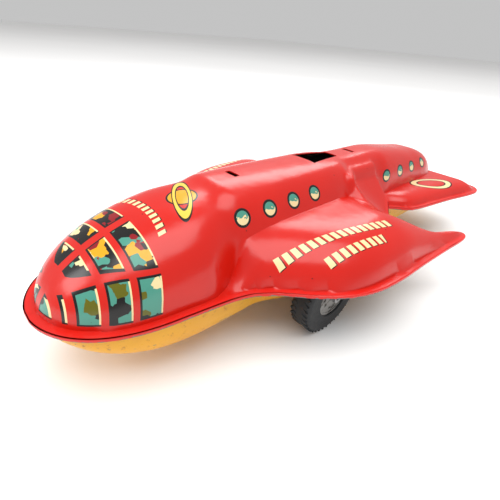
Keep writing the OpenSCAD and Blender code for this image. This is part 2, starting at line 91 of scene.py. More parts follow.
def inMillimetres(tree):  # the piece's own coordinates, so pattern scales can be given per millimetre
    coords = addNode(tree, "ShaderNodeTexCoord")
    scaled = addNode(tree, "ShaderNodeVectorMath", {0: coords.outputs["Object"], 3: 1000.0},
                     operation="SCALE")
    return scaled.outputs[0]


def mixColours(tree, factor, below, above):  # above is painted over below where factor is 1
    node = addNode(tree, "ShaderNodeMix", {0: factor, 6: below, 7: above}, data_type="RGBA")
    return node.outputs[2]


def smooth(a, b, x):
    t = np.clip((x - a) / (b - a), 0, 1)
    return t * t * (3 - 2 * t)


def mix(a, b, t):
    return a + (b - a) * t


def roundOff(t, p, q):  # a quarter of a superellipse, 1 at the start and 0 at the end
    return np.maximum(0, 1 - np.clip(t, 0, 1) ** p) ** q


def finishPiece(piece, materials, body, bend=35):
    if piece.name not in bpy.context.scene.collection.objects:
        bpy.context.scene.collection.objects.link(piece)
    for place, material in enumerate(materials):
        if place < len(piece.data.materials):
            piece.data.materials[place] = material
        else:
            piece.data.materials.append(material)
    piece.data.polygons.foreach_set("use_smooth", [True] * len(piece.data.polygons))
    piece.data.set_sharp_from_angle(angle=math.radians(bend))
    return piece


# ---- body sizes, the same as the drawing's, in millimetres ----
bodySizes = {
    "noseX": 115.0, "tailX": -115.0, "halfSpan": 59.0, "halfTail": 42.0, "halfNose": 27.5,
    "wingX": 69.0, "notchX": -35.5, "seam": 25.0, "rise": 24.0, "frontLift": 0.8, "tailFall": 6.0,
    "tin": 0.4, "rim": 2.8, "fold": 1.3, "noseLength": 65.0, "topReach": 8.0, "bodyWidth": 39.0,
    "waistWidth": 30.0,
    "rearWidth": 33.0, "tailRound": 32.0, "wingRise": 14.0, "tipRise": 5.0, "wingShoulder": 22.0,
    "tailRise": 4.5, "tailShoulder": 10.0, "waistSide": 15.0,
    "bellyDrop": 12.0, "bellyNose": 42.0, "bellyTail": 45.0, "bellyWall": 3.4, "wingKeel": 5.5, "flange": 1.1,
    "bellyLip": 1.7, "bellyTailRound": 30.0, "bellyGap": 0.15,
}
noseX = bodySizes["noseX"]
tailX = bodySizes["tailX"]
wingX = bodySizes["wingX"]
notchX = bodySizes["notchX"]
halfSpan = bodySizes["halfSpan"]
halfTail = bodySizes["halfTail"]
halfNose = bodySizes["halfNose"]
seam = bodySizes["seam"]
rim = bodySizes["rim"]
tin = bodySizes["tin"]


def plainRow(spine, x, y):
    return [spine, x, y, (spine + x) / 2, y / 2]


def noseRow(turn):
    x = noseX - bodySizes["noseLength"] * (1 - math.sqrt(math.cos(turn) / math.cos(math.radians(5))))
    return plainRow(x, x, halfNose * math.sin(turn) ** 1.06)


def wingRows():  # rows across one half: spine x, edge x, edge y, bend x, bend y
    w, s, n = wingX, halfSpan, halfNose
    nose = [noseRow(math.radians(5 + 71 * i / 28)) for i in range(29)]
    front = [
        plainRow(w, w, n + 1),
        plainRow(w - 5, w - 4.6, n + 2),
        plainRow(w - 10, w - 9, n + 3.5),
        plainRow(w - 14, w - 12, n + 5.4),
        plainRow(w - 19, w - 16.5, s - 22.7),
        plainRow(w - 27, w - 24.7, s - 14.8),
        [w - 34, w - 33, s - 8.7, w - 33.5, s - 34],
        [w - 40.5, w - 43.5, s - 4.5, w - 40.5, s - 28],
        [w - 47, w - 57, s - 2.6, w - 48, s - 16],
        [w - 53, w - 73, s - 2, w - 55, s - 9],
        [w - 58, w - 92, s - 0.9, w - 61, s - 5],
        [w - 61.5, w - 108, s, w - 65.5, s - 4],
        [w - 64.5, w - 112.4, s - 2.6, w - 68.5, s - 5.5],
        [w - 68, w - 109.8, s - 6, w - 72, s - 8.5],
        [w - 72, w - 103, s - 10, w - 76, s - 12],
        [w - 76.5, w - 96.6, s - 14, w - 79, s - 15.3],
        [w - 81.5, w - 92.2, s - 17.5, w - 83, s - 20],
        [w - 86.5, w - 91, s - 22, w - 86.8, s - 30],
        [w - 92.5, w - 94.4, n + 4, w - 92.8, n - 12],
        plainRow(w - 99.5, w - 101, n - 2.6),
        plainRow(notchX, notchX, n - 5.3),
    ]
    t, h = tailX, halfTail
    rear = [
        plainRow(notchX - 4.5, notchX - 5, n - 4),
        plainRow(notchX - 10, notchX - 10.5, n + 1.2),
        plainRow(notchX - 17, notchX - 18, n + 4.6),
        plainRow(t + 36, t + 34, h - 4.8),
        [t + 23, t + 18, h - 1.2, t + 22, h - 22],
        [t + 16.5, t + 8.5, h, t + 14.5, h - 16],
        [t + 11, t + 2.6, h - 2, t + 9, h - 17],
        [t + 6, t + 0.5, h - 6, t + 4.5, h - 22],
        plainRow(t, t, h - 13),
    ]
    keys = np.array([nose[-1]] + front + rear, float)
    last = len(keys) - 1
    rows = list(nose)
    for i in range(last):
        a, b, c, d = (keys[min(max(i + k, 0), last)] for k in (-1, 0, 1, 2))
        for step in range(8):
            u = step / 8
            if i + u > 0:
                rows.append(0.5 * (2 * b + (c - a) * u + (2 * a - 5 * b + 4 * c - d) * u * u
                                   + (3 * b - 3 * c + d - a) * u ** 3))
    rows.append(keys[last])
    return np.array(rows, float)


bodyRows = wingRows()
halfEdge = np.vstack([bodyRows[:, 1:3], [[tailX, 0]]])


def toEdge(x, y):  # distance from each point to the outline in plan
    points = np.stack([x, np.abs(y)], -1).reshape(-1, 1, 2)
    a = halfEdge[:-1]
    d = halfEdge[1:] - a
    t = np.clip(((points - a) * d).sum(-1) / np.maximum((d * d).sum(-1), 1e-6), 0, 1)
    gap = np.sqrt((((points - a) - t[..., None] * d) ** 2).sum(-1)).min(-1)
    return gap.reshape(np.shape(x))


def bodyHalf(x, g):
    length = bodySizes["noseLength"]
    nose = (halfNose - rim - g) * roundOff((x - noseX + length) / (length - rim - g), 4, 0.53)
    straight = mix(bodySizes["bodyWidth"] / 2, halfNose - rim, smooth(wingX - 16, wingX + 4, x))
    pinch = mix(bodySizes["waistWidth"] / 2, straight, smooth(wingX - 84, wingX - 76, x))
    rear = mix(bodySizes["rearWidth"] / 2, pinch, smooth(notchX - 12, notchX - 2, x))
    tail = roundOff((tailX + bodySizes["tailRound"] - x) / (bodySizes["tailRound"] - rim - g), 3, 0.5)
    return np.maximum(0.01, np.minimum(nose, (rear - g) * tail))


def bodyTop(x, g):
    length = bodySizes["noseLength"] + bodySizes["topReach"]
    nose = roundOff((x - noseX + length) / (length - rim - g), 2.4, 0.6)
    slope = (bodySizes["rise"] - bodySizes["tailFall"] * (1 - smooth(tailX + 17, wingX - 104, x))
             + bodySizes["frontLift"] * smooth(wingX - 74, wingX - 29, x))
    reach = bodySizes["tailRound"] + 2
    tail = roundOff((tailX + reach - x) / (reach - rim - g), 2.4, 0.6)
    return slope * np.minimum(nose, tail)


def riseAt(x, y, g):  # height above the seam
    body = bodyTop(x, g) * roundOff(np.abs(y) / bodyHalf(x, g), 3, 0.48)
    front = smooth(notchX - 6, notchX + 8, x)
    wing = mix(bodySizes["tipRise"], bodySizes["wingRise"], smooth(notchX + 2, notchX + 40, x))
    panel = (mix(bodySizes["tailRise"], wing, front) * (1 - smooth(wingX - 16, wingX - 3, x))
             * smooth(tailX + 2, tailX + 12, x))
    shoulder = mix(bodySizes["tailShoulder"], bodySizes["wingShoulder"], front)
    panel = panel * roundOff(1 - (toEdge(x, y) - rim - g) / shoulder, 2.2, 0.5)
    half = bodyHalf(x, 0)
    window = smooth(notchX - 2, notchX + 3, x) * (1 - smooth(notchX + 28, notchX + 34, x))
    side = (window * smooth(half - 9, half - 1, np.abs(y))
            * np.maximum(0, bodySizes["waistSide"] - (np.abs(y) - half + g)))
    return (body ** 3 + panel ** 3 + side ** 3) ** (1 / 3)


# ---- pressed sheets ----
redGrid = {"innerColumns": 26, "outerColumns": 18, "edgeRound": 0.45, "hemReach": 1.4}


def planGrid():  # plan points of one half, spine to edge
    inner, outer = redGrid["innerColumns"], redGrid["outerColumns"]
    grid = []
    for spine, ex, ey, bx, by in bodyRows:
        b = min(float(bodyHalf(spine, 0)) + 0.6, max(ey - rim, ey / 2))
        ys = np.array([b * (j / inner) ** 0.85 for j in range(inner + 1)]
                      + [mix(ey, b, ((outer - j) / outer) ** 1.4) for j in range(1, outer + 1)])
        v = ys / (by + np.sqrt(np.maximum(by * by + (ey - 2 * by) * ys, 1e-6)))
        grid.append(np.stack([(1 - v) ** 2 * spine + 2 * v * (1 - v) * bx + v * v * ex, ys], -1))
    return np.array(grid)


def bothSides(half):  # left edge to right edge
    right = half * np.array([1, -1])
    return np.concatenate([half[:, :0:-1], right], axis=1)


def borderOrder(n, m):
    return ([j for j in range(m)] + [i * m + m - 1 for i in range(1, n)]
            + [(n - 1) * m + j for j in range(m - 2, -1, -1)] + [i * m for i in range(n - 2, 0, -1)])


def outward(loop):  # plan normals of a closed loop of points
    step = np.roll(loop, -1, 0) - np.roll(loop, 1, 0)
    normal = np.stack([-step[:, 1], step[:, 0]], -1)
    normal /= np.maximum(np.linalg.norm(normal, axis=1, keepdims=True), 1e-9)
    area = 0.5 * np.sum(loop[:, 0] * np.roll(loop[:, 1], -1) - np.roll(loop[:, 0], -1) * loop[:, 1])
    return normal if area < 0 else -normal


def stripFaces(n, m, start, flip):
    faces = []
    for i in range(n - 1):
        for j in range(m - 1):
            a = start + i * m + j
            quad = [a, a + m, a + m + 1, a + 1]
            faces.append(quad[::-1] if flip else quad)
    return faces


def bandFaces(one, two):
    return [[one[i], one[(i + 1) % len(one)], two[(i + 1) % len(one)], two[i]] for i in range(len(one))]


def pullIn(plan, order, normals, amount):  # the grid with its border drawn in
    flat = plan.reshape(-1, 2).copy()
    for k, normal in zip(order, normals):
        flat[k] -= normal * amount
    return flat.reshape(plan.shape)


def redShell():
    plan = bothSides(planGrid())
    n, m = plan.shape[:2]
    order = borderOrder(n, m)
    loop = plan.reshape(-1, 2)[order]
    normals = outward(loop)
    fold = bodySizes["fold"]
    hem = redGrid["hemReach"]
    top = pullIn(plan, order, normals, redGrid["edgeRound"])
    low = pullIn(plan, order, normals, tin + 0.05)
    points = []
    wear = []
    for sheet, g in ((top, 0.0), (low, tin)):
        x, y = sheet[..., 0], sheet[..., 1]
        z = seam - g + riseAt(x, y, g)
        points += np.stack([x, y, z], -1).reshape(-1, 3).tolist()
        wear += toEdge(x, y).reshape(-1).tolist()
    faces = stripFaces(n, m, 0, True) + stripFaces(n, m, n * m, False)
    shadow = len(faces) // 2  # faces from here on are inside
    profile = [(-0.18, -0.07), (-0.04, -0.22), (0, -0.45), (0, -fold + 0.35), (-0.08, -fold + 0.12),
               (-0.35, -fold), (-hem, -fold), (-hem - 0.08, -fold + 0.17), (-hem, -fold + 0.34),
               (-0.5, -fold + 0.36), (-0.43, -fold + 0.5)]
    ring = order
    for out, down in profile:
        start = len(points)
        points += [[p[0] + q[0] * out, p[1] + q[1] * out, seam + down] for p, q in zip(loop, normals)]
        wear += [0.0] * len(order)
        new = list(range(start, start + len(order)))
        faces += [quad[::-1] for quad in bandFaces(ring, new)]
        ring = new
    faces += [quad[::-1] for quad in bandFaces(ring, [k + n * m for k in order])]
    mesh = bpy.data.meshes.new("redTinBody")
    mesh.from_pydata([tuple(c * mm for c in p) for p in points], [], faces)
    edgeGap = mesh.attributes.new("edgeGap", "FLOAT", "POINT")
    edgeGap.data.foreach_set("value", wear)
    inside = [0] * shadow + [1] * shadow + [0] * (len(faces) - 2 * shadow)
    mesh.polygons.foreach_set("material_index", inside)
    mesh.materials.append(redTin)
    mesh.materials.append(darkTin)
    mesh.update()
    return bpy.data.objects.new("redTinBody", mesh)


def cutter(name, points, low, high):  # an upright prism
    count = len(points)
    verts = [(x * mm, y * mm, low * mm) for x, y in points] + [(x * mm, y * mm, high * mm) for x, y in points]
    faces = [list(range(count))[::-1], list(range(count, 2 * count))]
    faces += [[i, (i + 1) % count, (i + 1) % count + count, i + count] for i in range(count)]
    mesh = bpy.data.meshes.new(name)
    mesh.from_pydata(verts, [], faces)
    return bpy.data.objects.new(name, mesh)


def roundedRectangle(cx, cy, sx, sy, r):
    points = []
    for qx, qy, start in ((1, 1, 0), (-1, 1, 90), (-1, -1, 180), (1, -1, 270)):
        for k in range(4):
            turn = math.radians(start + 30 * k)
            points.append((cx + qx * (sx / 2 - r) + r * math.cos(turn),
                           cy + qy * (sy / 2 - r) + r * math.sin(turn)))
    return points


def bake(piece, name):  # the evaluated object as a plain mesh
    graph = bpy.context.evaluated_depsgraph_get()
    graph.update()
    mesh = bpy.data.meshes.new_from_object(piece.evaluated_get(graph), preserve_all_data_layers=True,
                                           depsgraph=graph)
    mesh.name = name
    piece.modifiers.clear()
    piece.data = mesh
    return piece


def cutOut(piece, cutters):
    scene = bpy.context.scene.collection.objects
    scene.link(piece)
    for tool in cutters:
        scene.link(tool)
        cut = piece.modifiers.new("cut", "BOOLEAN")
        cut.operation = "DIFFERENCE"
        cut.solver = "EXACT"
        cut.object = tool
    bake(piece, piece.name)
    for tool in cutters:
        bpy.data.objects.remove(tool)
    return piece


openings = {"frontSlot": 44.5, "rearSlot": -27.8, "slotWidth": 5.8, "slotLength": 2.3,
            "hatchFront": 6.0, "hatchRear": -14.0, "hatchFrontWidth": 12.4, "hatchRearWidth": 6.8}


def hatchOutline():
    f, r = openings["hatchFront"], openings["hatchRear"]
    a, b = openings["hatchFrontWidth"] / 2, openings["hatchRearWidth"] / 2
    return [(f, -a), (f, a), (r, b), (r, -b)]


# ---- the printed red tin ----
# Lithographed tinplate: ink and clear varnish rolled on flat sheet, then pressed. The varnish gives
# a sharp gloss over soft waves left by the press, and it wears to bare metal on the rolled edge.
printColours = {
    "red": "#CC1606", "redShade": "#B01006", "redLight": "#DA1E0A", "cream": "#EBD6A0", "ink": "#0A0807",
    "teal": "#4A9280", "olive": "#605E02", "crimson": "#8A0412", "gold": "#E0A010",
    # the last colour on the next line is a lighter red painted on the rim band as a highlight
    "bare": "#8A8480", "rust": "#1E0E0A", "rimHighlightRed": "#DE1E16",
}
canopy = {"stations": (83.2, 90.9, 98.1, 104.7, 107.4), "bar": 0.85, "centreBar": 1.5, "rowBar": 0.65,
          "lean": 0.05, "drop": 0.17, "rowHeight": 38.2, "frontLimit": 110.6, "lowLimit": 26.4}
portholes = {"frontOffset": 17.1, "rearOffset": -87.3, "frontPitch": 12.1, "rearPitch": 14.1,
             "frontHeight": 43.4, "rearHeight": 37.6, "radius": 3.2, "ring": 0.85}


def printedTin(name, printed):
    material, tree, shader = newMaterial(name)
    millimetres = inMillimetres(tree)
    xyz = addNode(tree, "ShaderNodeSeparateXYZ", {0: millimetres})
    x, y, z = xyz.outputs[0], xyz.outputs[1], xyz.outputs[2]
    side = addNode(tree, "ShaderNodeMath", {0: y}, operation="ABSOLUTE").outputs[0]
    cloud = addNode(tree, "ShaderNodeTexNoise", {"Vector": millimetres, "Scale": 0.045, "Detail": 3.0})
    base = mixColours(tree, cloud.outputs[0], colour(printColours["redShade"]),
                      colour(printColours["redLight"]))
    base = mixColours(tree, 0.6, base, colour(printColours["red"]))
    if printed:
        base = canopyPrint(tree, base, x, side, z, millimetres)
        base = portholePrint(tree, base, x, side, z)
        base = emblemPrint(tree, base, x, y)
        base = wingPrint(tree, base, x, side)
    # painted highlight: a lighter red laid along the rim band, where its flat face catches the light; wear: a
    # broken dark line low on the rolled edge and a few tiny chips
    gap = addNode(tree, "ShaderNodeAttribute", attribute_name="edgeGap").outputs["Fac"]
    band = addNode(tree, "ShaderNodeMapRange", {"Value": gap, "From Min": 1.2, "From Max": 2.6,
                                                "To Min": 0.55, "To Max": 0.0})
    base = mixColours(tree, band, base, colour(printColours["rimHighlightRed"]))
    grit = addNode(tree, "ShaderNodeTexNoise", {"Vector": millimetres, "Scale": 0.35, "Detail": 6.0,
                                                "Roughness": 0.65}).outputs[0]
    reach = addNode(tree, "ShaderNodeMath", {0: grit, 1: 2.2, 2: seam - 2.05}, operation="MULTIPLY_ADD")
    low = addNode(tree, "ShaderNodeMath", {0: z, 1: reach}, operation="LESS_THAN")
    atEdge = addNode(tree, "ShaderNodeMath", {0: gap, 1: 0.05}, operation="LESS_THAN")
    rubbed = addNode(tree, "ShaderNodeMath", {0: low, 1: atEdge}, operation="MULTIPLY").outputs[0]
    metal = mixColours(tree, grit, colour(printColours["rust"]), colour(printColours["bare"]))
    base = mixColours(tree, rubbed, base, metal)
    specks = addNode(tree, "ShaderNodeTexVoronoi", {"Vector": millimetres, "Scale": 0.16})
    chip = addNode(tree, "ShaderNodeMath", {0: specks.outputs["Distance"], 1: 0.035}, operation="LESS_THAN")
    base = mixColours(tree, chip, base, colour("#4A0E08"))
    tree.links.new(base, shader.inputs["Base Color"])
    # soft press waves and fine grain in the varnish
    waves = addNode(tree, "ShaderNodeTexNoise", {"Vector": millimetres, "Scale": 0.09, "Detail": 2.0})
    grain = addNode(tree, "ShaderNodeTexNoise", {"Vector": millimetres, "Scale": 3.0, "Detail": 2.0})
    soft = addNode(tree, "ShaderNodeBump", {"Height": waves.outputs[0], "Distance": 0.0004, "Strength": 0.7})
    fine = addNode(tree, "ShaderNodeBump", {"Height": grain.outputs[0], "Distance": 0.00001, "Strength": 0.5,
                                            "Normal": soft})
    tree.links.new(fine.outputs[0], shader.inputs["Normal"])
    gloss = addNode(tree, "ShaderNodeMapRange", {"Value": grit, "To Min": 0.16, "To Max": 0.3})
    dull = addNode(tree, "ShaderNodeMath", {0: rubbed, 1: 0.35, 2: gloss}, operation="MULTIPLY_ADD")
    tree.links.new(dull.outputs[0], shader.inputs["Roughness"])
    shader.inputs["IOR"].default_value = 1.5
    return material


def canopyPrint(tree, base, x, side, z, millimetres):
    low = addNode(tree, "ShaderNodeMath", {0: 37.0, 1: z}, operation="SUBTRACT")
    low = addNode(tree, "ShaderNodeMath", {0: low, 1: 0.0}, operation="MAXIMUM")
    along = addNode(tree, "ShaderNodeMath", {0: side, 1: -canopy["lean"], 2: x}, operation="MULTIPLY_ADD")
    along = addNode(tree, "ShaderNodeMath", {0: low, 1: -canopy["drop"], 2: along}, operation="MULTIPLY_ADD")
    ahead = addNode(tree, "ShaderNodeMath", {0: x, 1: 92.0}, operation="SUBTRACT")
    ahead = addNode(tree, "ShaderNodeMath", {0: ahead, 1: 0.0}, operation="MAXIMUM")
    ahead = addNode(tree, "ShaderNodeMath", {0: ahead, 1: ahead}, operation="MULTIPLY")
    split = addNode(tree, "ShaderNodeMath", {0: ahead, 1: 0.021, 2: z}, operation="MULTIPLY_ADD")
    split = addNode(tree, "ShaderNodeMath", {0: split, 1: canopy["rowHeight"]}, operation="SUBTRACT")
    # room is how far a point is inside its pane, on the side away from and towards the nose
    rear = None
    fore = None
    for station in canopy["stations"]:
        gap = addNode(tree, "ShaderNodeMath", {0: along, 1: station}, operation="SUBTRACT").outputs[0]
        behind = addNode(tree, "ShaderNodeMath", {0: gap, 1: 0.0}, operation="LESS_THAN")
        after = addNode(tree, "ShaderNodeMath", {0: behind, 1: 99.0, 2: gap}, operation="MULTIPLY_ADD")
        before = addNode(tree, "ShaderNodeMath", {0: gap, 1: -1.0}, operation="MULTIPLY")
        past = addNode(tree, "ShaderNodeMath", {0: gap, 1: 0.0}, operation="GREATER_THAN")
        before = addNode(tree, "ShaderNodeMath", {0: past, 1: 99.0, 2: before}, operation="MULTIPLY_ADD")
        if rear is None:
            rear, fore = after, before
        else:
            rear = addNode(tree, "ShaderNodeMath", {0: rear, 1: after}, operation="MINIMUM")
            fore = addNode(tree, "ShaderNodeMath", {0: fore, 1: before}, operation="MINIMUM")
    limit = addNode(tree, "ShaderNodeMath", {0: canopy["frontLimit"], 1: along}, operation="SUBTRACT")
    limit = addNode(tree, "ShaderNodeMath", {0: limit, 1: canopy["bar"]}, operation="ADD")
    fore = addNode(tree, "ShaderNodeMath", {0: fore, 1: limit}, operation="MINIMUM").outputs[0]
    rear = addNode(tree, "ShaderNodeMath", {0: rear, 1: canopy["bar"]}, operation="SUBTRACT").outputs[0]
    fore = addNode(tree, "ShaderNodeMath", {0: fore, 1: canopy["bar"]}, operation="SUBTRACT").outputs[0]
    row = addNode(tree, "ShaderNodeMath", {0: split}, operation="ABSOLUTE")
    row = addNode(tree, "ShaderNodeMath", {0: row, 1: canopy["rowBar"]}, operation="SUBTRACT").outputs[0]
    centre = addNode(tree, "ShaderNodeMath", {0: side, 1: canopy["centreBar"]}, operation="SUBTRACT")
    floor = addNode(tree, "ShaderNodeMath", {0: z, 1: canopy["lowLimit"]}, operation="SUBTRACT").outputs[0]
    across = addNode(tree, "ShaderNodeMath", {0: row, 1: centre}, operation="MINIMUM")
    across = addNode(tree, "ShaderNodeMath", {0: across, 1: floor}, operation="MINIMUM").outputs[0]
    begun = addNode(tree, "ShaderNodeMath", {0: along, 1: canopy["stations"][0] + canopy["bar"]},
                    operation="SUBTRACT")
    lit = addNode(tree, "ShaderNodeMath", {0: rear, 1: floor}, operation="MINIMUM")
    lit = addNode(tree, "ShaderNodeMath", {0: lit, 1: begun}, operation="MINIMUM").outputs[0]
    dark = addNode(tree, "ShaderNodeMath", {0: fore, 1: across}, operation="MINIMUM").outputs[0]
    room = addNode(tree, "ShaderNodeMath", {0: lit, 1: dark}, operation="MINIMUM").outputs[0]
    pane = addNode(tree, "ShaderNodeMath", {0: room, 1: 0.0}, operation="GREATER_THAN")
    # cabin pictures are only blocks of colour: seats, dials and sky
    blocks = addNode(tree, "ShaderNodeTexVoronoi", {"Vector": millimetres, "Scale": 0.3},
                     distance="CHEBYCHEV")
    shade = addNode(tree, "ShaderNodeSeparateColor", {0: blocks.outputs["Color"]})
    rows = []
    for stops in ((("teal", 0.0), ("olive", 0.55), ("teal", 0.72), ("ink", 0.86), ("cream", 0.95)),
                  (("ink", 0.0), ("crimson", 0.34), ("cream", 0.56), ("gold", 0.68), ("ink", 0.82),
                   ("teal", 0.92))):
        ramp = addNode(tree, "ShaderNodeValToRGB", {0: shade.outputs[0]})
        ramp.color_ramp.interpolation = "CONSTANT"
        for name, place in stops[2:]:
            ramp.color_ramp.elements.new(place)
        for element, (name, place) in zip(ramp.color_ramp.elements, stops):
            element.position = place
            element.color = colour(printColours[name])
        rows.append(ramp.outputs[0])
    upper = addNode(tree, "ShaderNodeMath", {0: split, 1: 0.0}, operation="GREATER_THAN")
    inside = mixColours(tree, upper, rows[0], rows[1])
    # cream on the lit edges and black on the shaded ones
    creamEdge = addNode(tree, "ShaderNodeMath", {0: lit, 1: 0.42}, operation="LESS_THAN")
    inkEdge = addNode(tree, "ShaderNodeMath", {0: dark, 1: 0.55}, operation="LESS_THAN")
    inside = mixColours(tree, creamEdge, inside, colour(printColours["cream"]))
    inside = mixColours(tree, inkEdge, inside, colour(printColours["ink"]))
    return mixColours(tree, pane, base, inside)


def portholePrint(tree, base, x, side, z):
    rearOnes = addNode(tree, "ShaderNodeMath", {0: x, 1: -20.0}, operation="LESS_THAN")
    offset = addNode(tree, "ShaderNodeMapRange", {"Value": rearOnes, "To Min": portholes["frontOffset"],
                                                  "To Max": portholes["rearOffset"]})
    middle = addNode(tree, "ShaderNodeMapRange", {"Value": rearOnes, "To Min": portholes["frontHeight"],
                                                  "To Max": portholes["rearHeight"]})
    reach = addNode(tree, "ShaderNodeMapRange", {"Value": rearOnes, "To Min": 16.5, "To Max": 14.4})
    shifted = addNode(tree, "ShaderNodeMath", {0: x, 1: offset}, operation="SUBTRACT")
    pitch = addNode(tree, "ShaderNodeMapRange", {"Value": rearOnes, "To Min": portholes["frontPitch"],
                                                 "To Max": portholes["rearPitch"]}).outputs[0]
    steps = addNode(tree, "ShaderNodeMath", {0: shifted, 1: pitch}, operation="DIVIDE").outputs[0]
    local = addNode(tree, "ShaderNodeMath", {0: steps, 1: 0.5, 2: -0.5}, operation="WRAP")
    local = addNode(tree, "ShaderNodeMath", {0: local, 1: pitch}, operation="MULTIPLY").outputs[0]
    first = addNode(tree, "ShaderNodeMath", {0: steps, 1: -0.5}, operation="GREATER_THAN")
    last = addNode(tree, "ShaderNodeMath", {0: steps, 1: 3.5}, operation="LESS_THAN")
    group = addNode(tree, "ShaderNodeMath", {0: first, 1: last}, operation="MULTIPLY")
    up = addNode(tree, "ShaderNodeMath", {0: z, 1: middle}, operation="SUBTRACT")
    out = addNode(tree, "ShaderNodeMath", {0: side, 1: reach}, operation="SUBTRACT")
    away = addNode(tree, "ShaderNodeCombineXYZ", {0: local, 1: up, 2: out})
    radius = addNode(tree, "ShaderNodeVectorMath", {0: away}, operation="LENGTH").outputs["Value"]
    disc = addNode(tree, "ShaderNodeMath", {0: radius, 1: portholes["radius"]}, operation="LESS_THAN")
    disc = addNode(tree, "ShaderNodeMath", {0: disc, 1: group}, operation="MULTIPLY")
    glass = addNode(tree, "ShaderNodeMath", {0: radius, 1: portholes["radius"] - portholes["ring"]},
                    operation="LESS_THAN")
    ridge = addNode(tree, "ShaderNodeTexNoise", {"Vector": away, "Scale": 0.9, "Detail": 1.0})
    skyline = addNode(tree, "ShaderNodeMath", {0: ridge.outputs[0], 1: 3.4, 2: -1.7},
                      operation="MULTIPLY_ADD")
    sky = addNode(tree, "ShaderNodeMath", {0: up, 1: skyline}, operation="GREATER_THAN")
    view = mixColours(tree, sky, colour(printColours["cream"]), colour(printColours["teal"]))
    view = mixColours(tree, glass, colour("#101412"), view)
    return mixColours(tree, disc, base, view)


def emblemPrint(tree, base, x, y):
    # a ringed planet on the nose with an arc of dashes in front of it
    spot = addNode(tree, "ShaderNodeCombineXYZ", {0: x, 1: y})
    turned = addNode(tree, "ShaderNodeMapping", {0: spot, "Location": (66.5, 2.0, 0.0),
                                                 "Rotation": (0.0, 0.0, math.radians(62))},
                     vector_type="TEXTURE")
    ballSize = addNode(tree, "ShaderNodeVectorMath", {0: turned}, operation="LENGTH").outputs["Value"]
    flat = addNode(tree, "ShaderNodeVectorMath", {0: turned, 1: (0.27, 1.05, 1.0)}, operation="MULTIPLY")
    ringSize = addNode(tree, "ShaderNodeVectorMath", {0: flat}, operation="LENGTH").outputs["Value"]
    ringGap = addNode(tree, "ShaderNodeMath", {0: ringSize, 1: 2.6}, operation="SUBTRACT")
    ringGap = addNode(tree, "ShaderNodeMath", {0: ringGap}, operation="ABSOLUTE")
    ink = addNode(tree, "ShaderNodeMath", {0: ballSize, 1: 5.0}, operation="LESS_THAN")
    ringInk = addNode(tree, "ShaderNodeMath", {0: ringGap, 1: 0.75}, operation="LESS_THAN")
    ink = addNode(tree, "ShaderNodeMath", {0: ink, 1: ringInk}, operation="MAXIMUM")
    ball = addNode(tree, "ShaderNodeMath", {0: ballSize, 1: 4.4}, operation="LESS_THAN")
    ring = addNode(tree, "ShaderNodeMath", {0: ringGap, 1: 0.42}, operation="LESS_THAN")
    base = mixColours(tree, ink, base, colour(printColours["ink"]))
    base = mixColours(tree, ball, base, colour(printColours["gold"]))
    base = mixColours(tree, ringInk, base, colour(printColours["ink"]))
    base = mixColours(tree, ring, base, colour("#F2C54A"))
    side = addNode(tree, "ShaderNodeMath", {0: y}, operation="ABSOLUTE").outputs[0]
    for shift, name in ((0.3, "ink"), (0.0, "cream")):
        bow = addNode(tree, "ShaderNodeMath", {0: side, 1: side}, operation="MULTIPLY")
        row = addNode(tree, "ShaderNodeMath", {0: bow, 1: -0.012, 2: x}, operation="MULTIPLY_ADD")
        row = addNode(tree, "ShaderNodeMath", {0: row, 1: 78.0 - shift}, operation="SUBTRACT")
        row = addNode(tree, "ShaderNodeMath", {0: row}, operation="ABSOLUTE")
        tall = addNode(tree, "ShaderNodeMath", {0: row, 1: 1.15}, operation="LESS_THAN")
        dash = addNode(tree, "ShaderNodeMath", {0: y, 1: 1.25 + shift, 2: -1.25 + shift}, operation="WRAP")
        dash = addNode(tree, "ShaderNodeMath", {0: dash, 1: shift}, operation="SUBTRACT")
        dash = addNode(tree, "ShaderNodeMath", {0: dash}, operation="ABSOLUTE")
        wide = addNode(tree, "ShaderNodeMath", {0: dash, 1: 0.72}, operation="LESS_THAN")
        within = addNode(tree, "ShaderNodeMath", {0: side, 1: 13.0}, operation="LESS_THAN")
        mark = addNode(tree, "ShaderNodeMath", {0: tall, 1: wide}, operation="MULTIPLY")
        mark = addNode(tree, "ShaderNodeMath", {0: mark, 1: within}, operation="MULTIPLY")
        base = mixColours(tree, mark, base, colour(printColours[name]))
    return base


